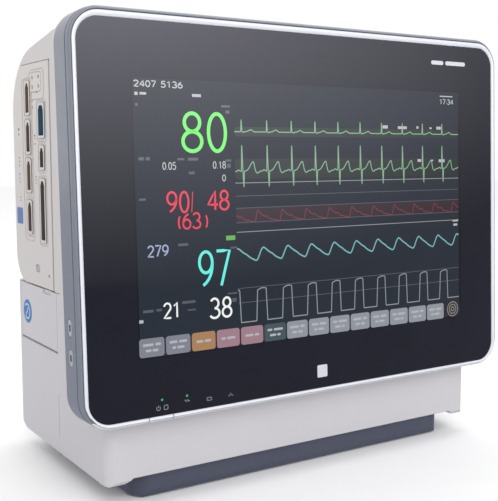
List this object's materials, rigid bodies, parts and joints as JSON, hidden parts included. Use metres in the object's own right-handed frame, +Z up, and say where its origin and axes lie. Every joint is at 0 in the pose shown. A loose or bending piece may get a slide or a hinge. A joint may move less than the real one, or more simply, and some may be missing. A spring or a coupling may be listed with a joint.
{
  "type": "patient monitor",
  "caption": "Bedside patient monitor with a leaning wide touch display, a plug-in measuring unit on its side, a hinged battery door and a low base foot.",
  "frame": {"origin": "centre of the overall box at the bottom of the rubber pads", "axes": "+X to the viewer's right along the display's width, +Y from the display to the back, +Z up; the display faces -Y"},
  "size_m": [0.428, 0.2159, 0.3731],
  "materials": {
    "rim_plastic": "satin silver-white moulded plastic",
    "black_glass": "black-printed toughened cover glass, glossy and opaque outside the lit area",
    "gasket_rubber": "black foam gasket",
    "frame_plastic": "blue-grey moulded plastic with a satin paint",
    "steel_sheet": "zinc-plated sheet steel",
    "circuit_board": "green circuit board with components",
    "ribbon_film": "amber flexible circuit",
    "clear_lens": "frosted clear plastic",
    "key_plastic": "light grey key caps",
    "cover_plastic": "warm light grey moulded plastic with a fine texture",
    "housing_plastic": "light grey moulded plastic with a fine texture",
    "unit_plastic": "warm off-white moulded plastic with a fine texture",
    "dark_plastic": "dark grey plastic",
    "panel_frame": "pressed aluminium back frame of the display panel",
    "heatsink_aluminium": "extruded aluminium",
    "speaker_cloth": "dark acoustic cloth",
    "gold_contact": "gold-plated contacts",
    "pin_steel": "plain steel pin",
    "socket_tan": "tan keyed socket inserts",
    "socket_blue": "blue keyed socket insert",
    "socket_grey": "grey socket inserts",
    "port_metal": "bright plated connector shells",
    "video_blue": "blue video connector",
    "post_brass": "plated brass grounding post",
    "foot_plastic": "dark blue-grey moulded plastic",
    "pad_rubber": "black rubber pads",
    "screw_steel": "zinc-plated machine screws"
  },
  "bodies": {
    "housing": {"front_rim": "rim_plastic", "front_glass": "black_glass", "glass_gasket": "gasket_rubber", "front_frame": "frame_plastic", "lcd_module": "panel_frame", "display_chassis": "steel_sheet", "display_back": "frame_plastic", "lcd_driver_board": "circuit_board", "lcd_ribbon": "ribbon_film", "alarm_light_lens": "clear_lens", "alarm_led_board": "circuit_board", "status_light_pipes": "clear_lens", "key_board": "circuit_board", "rear_cover": "cover_plastic", "grip_cup": "dark_plastic", "lower_housing": "housing_plastic", "main_chassis": "steel_sheet", "main_board": "circuit_board", "board_heatsink": "heatsink_aluminium", "power_supply": "steel_sheet", "speaker": "dark_plastic", "speaker_mesh": "speaker_cloth", "battery_pack": "dark_plastic", "battery_contacts": "gold_contact", "door_pin": "pin_steel", "dock_socket": "dark_plastic", "port_plate": "steel_sheet", "network_port": "port_metal", "usb_ports": "port_metal", "video_port": "video_blue", "mains_inlet": "dark_plastic", "inlet_blades": "port_metal", "equipotential_post": "post_brass", "base_foot": "foot_plastic", "rubber_pads": "pad_rubber", "foot_screws": "screw_steel", "cover_screws": "screw_steel", "display_screws": "screw_steel", "board_screws": "screw_steel"},
    "measuring_unit": {"unit_case": "unit_plastic", "unit_back_plate": "steel_sheet", "amplifier_board": "circuit_board", "cuff_pump": "dark_plastic", "dock_plug": "dark_plastic", "multi_socket_1": "socket_tan", "multi_socket_2": "socket_tan", "multi_socket_3": "socket_tan", "multi_socket_4": "socket_tan", "oximeter_socket": "socket_blue", "pressure_socket": "socket_grey", "lead_socket": "socket_grey", "temperature_jacks": "socket_grey", "socket_pins": "gold_contact"},
    "release_key": {"unit_release_key": "key_plastic"},
    "power_key": {"power_key": "rim_plastic"},
    "side_key_upper": {"side_key_upper": "key_plastic"},
    "side_key_lower": {"side_key_lower": "key_plastic"},
    "battery_door": {"battery_door": "housing_plastic"}
  },
  "joints": [
    {"name": "power_key_press", "type": "slide", "parent": "housing", "child": "power_key", "axis": [0, 0.9991, -0.0419], "range_m": [0, 0.0008], "stiffness_N_per_m": 400, "springref_m": -0.0006},
    {"name": "side_key_upper_press", "type": "slide", "parent": "housing", "child": "side_key_upper", "axis": [1, 0, 0], "range_m": [0, 0.0008], "stiffness_N_per_m": 400, "springref_m": -0.0006},
    {"name": "side_key_lower_press", "type": "slide", "parent": "housing", "child": "side_key_lower", "axis": [1, 0, 0], "range_m": [0, 0.0008], "stiffness_N_per_m": 400, "springref_m": -0.0006},
    {"name": "unit_slide", "type": "slide", "parent": "housing", "child": "measuring_unit", "axis": [-1, 0, 0], "range_m": [0, 0.06]},
    {"name": "release_key_press", "type": "slide", "parent": "measuring_unit", "child": "release_key", "axis": [1, 0, 0], "range_m": [0, 0.0012], "stiffness_N_per_m": 400, "springref_m": -0.0006},
    {"name": "battery_door_hinge", "type": "hinge", "parent": "housing", "child": "battery_door", "pos_m": [-0.185, 0.05175, 0.1046], "axis": [0, -1, 0], "range_deg": [0, 90]}
  ]
}
